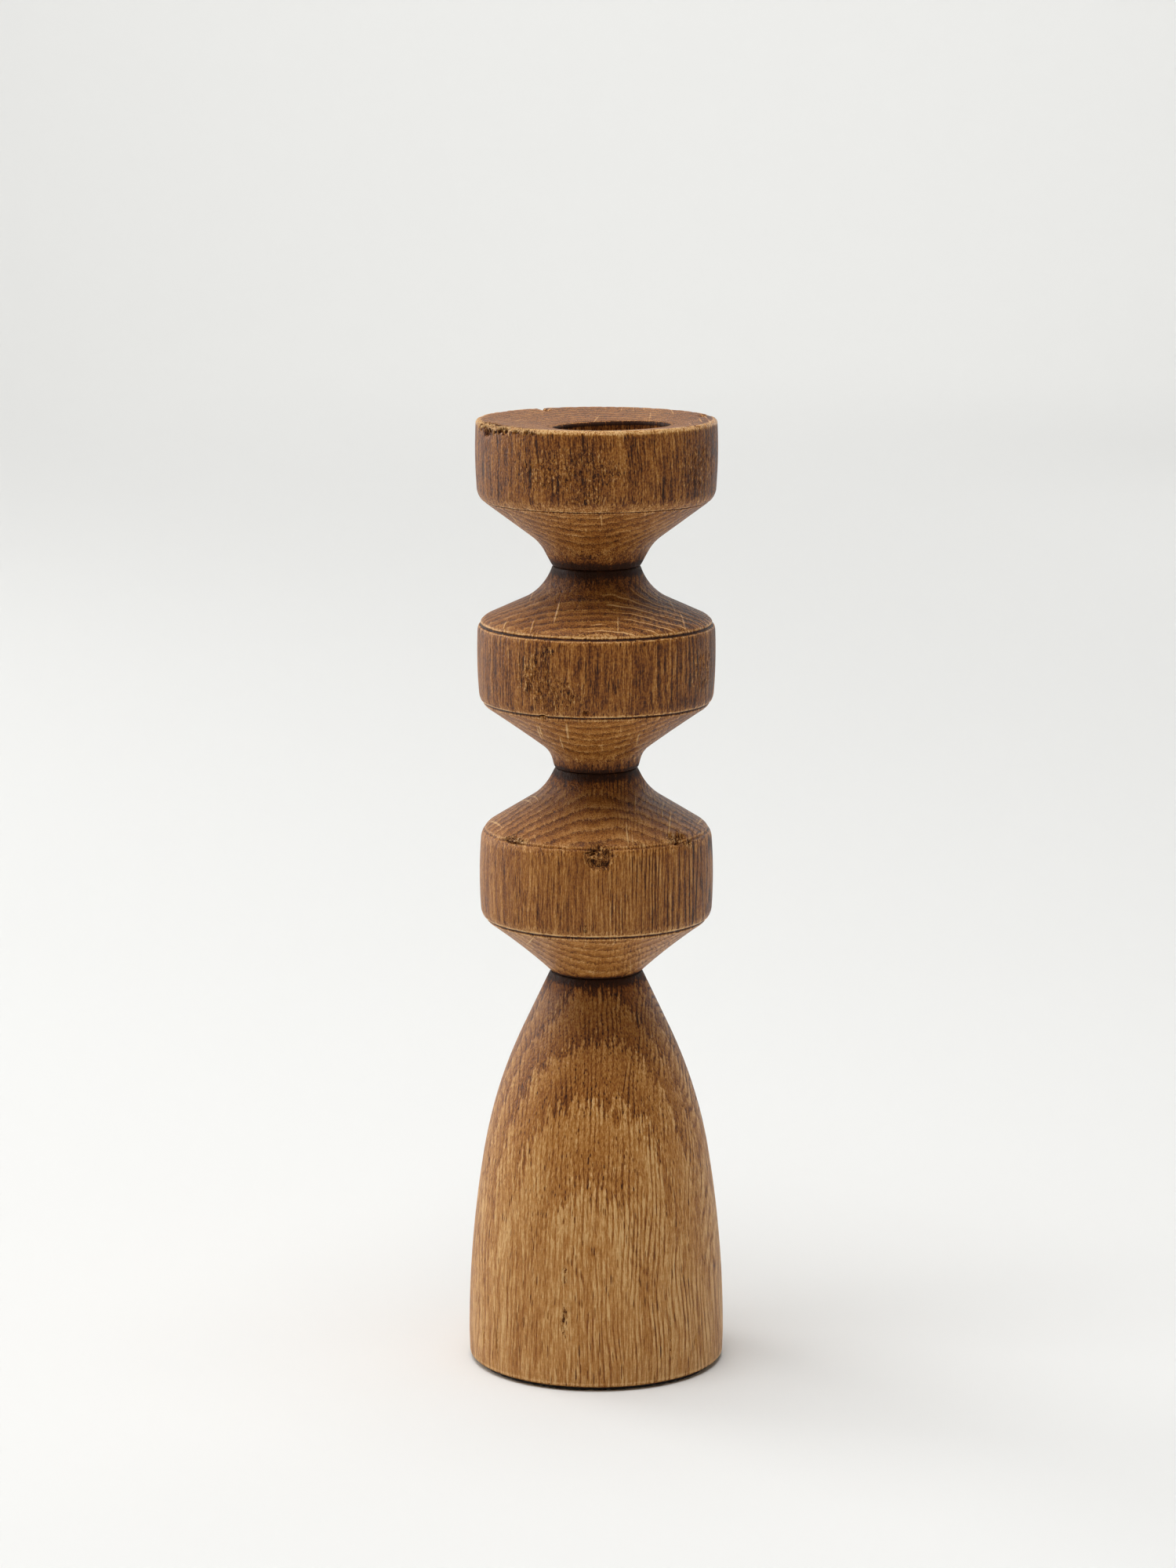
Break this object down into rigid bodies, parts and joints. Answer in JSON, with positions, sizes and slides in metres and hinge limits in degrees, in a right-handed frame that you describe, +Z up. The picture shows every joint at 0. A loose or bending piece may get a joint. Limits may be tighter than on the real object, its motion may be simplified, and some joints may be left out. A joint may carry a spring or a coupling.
{
  "type": "candlestick",
  "caption": "Turned wooden candlestick: a bullet-shaped base, two spools and a dished cup with a socket for a taper candle.",
  "frame": {"origin": "centre of the felt pad's underside, on the surface the candlestick stands on", "axes": "+Z up the turning axis, towards the candle; +X to the right and -Y towards the viewer in the picture"},
  "size_m": [0.0494, 0.0494, 0.1832],
  "materials": {
    "stained_oak": "satin oil",
    "golden_oak": "satin oil",
    "beech": "raw",
    "felt": "matte"
  },
  "bodies": {
    "root": {"candle_cup": "stained_oak", "upper_spool": "stained_oak", "lower_spool": "stained_oak", "base": "golden_oak", "cup_dowel": "beech", "spool_dowel": "beech", "base_dowel": "beech", "felt_pad": "felt"}
  },
  "joints": []
}
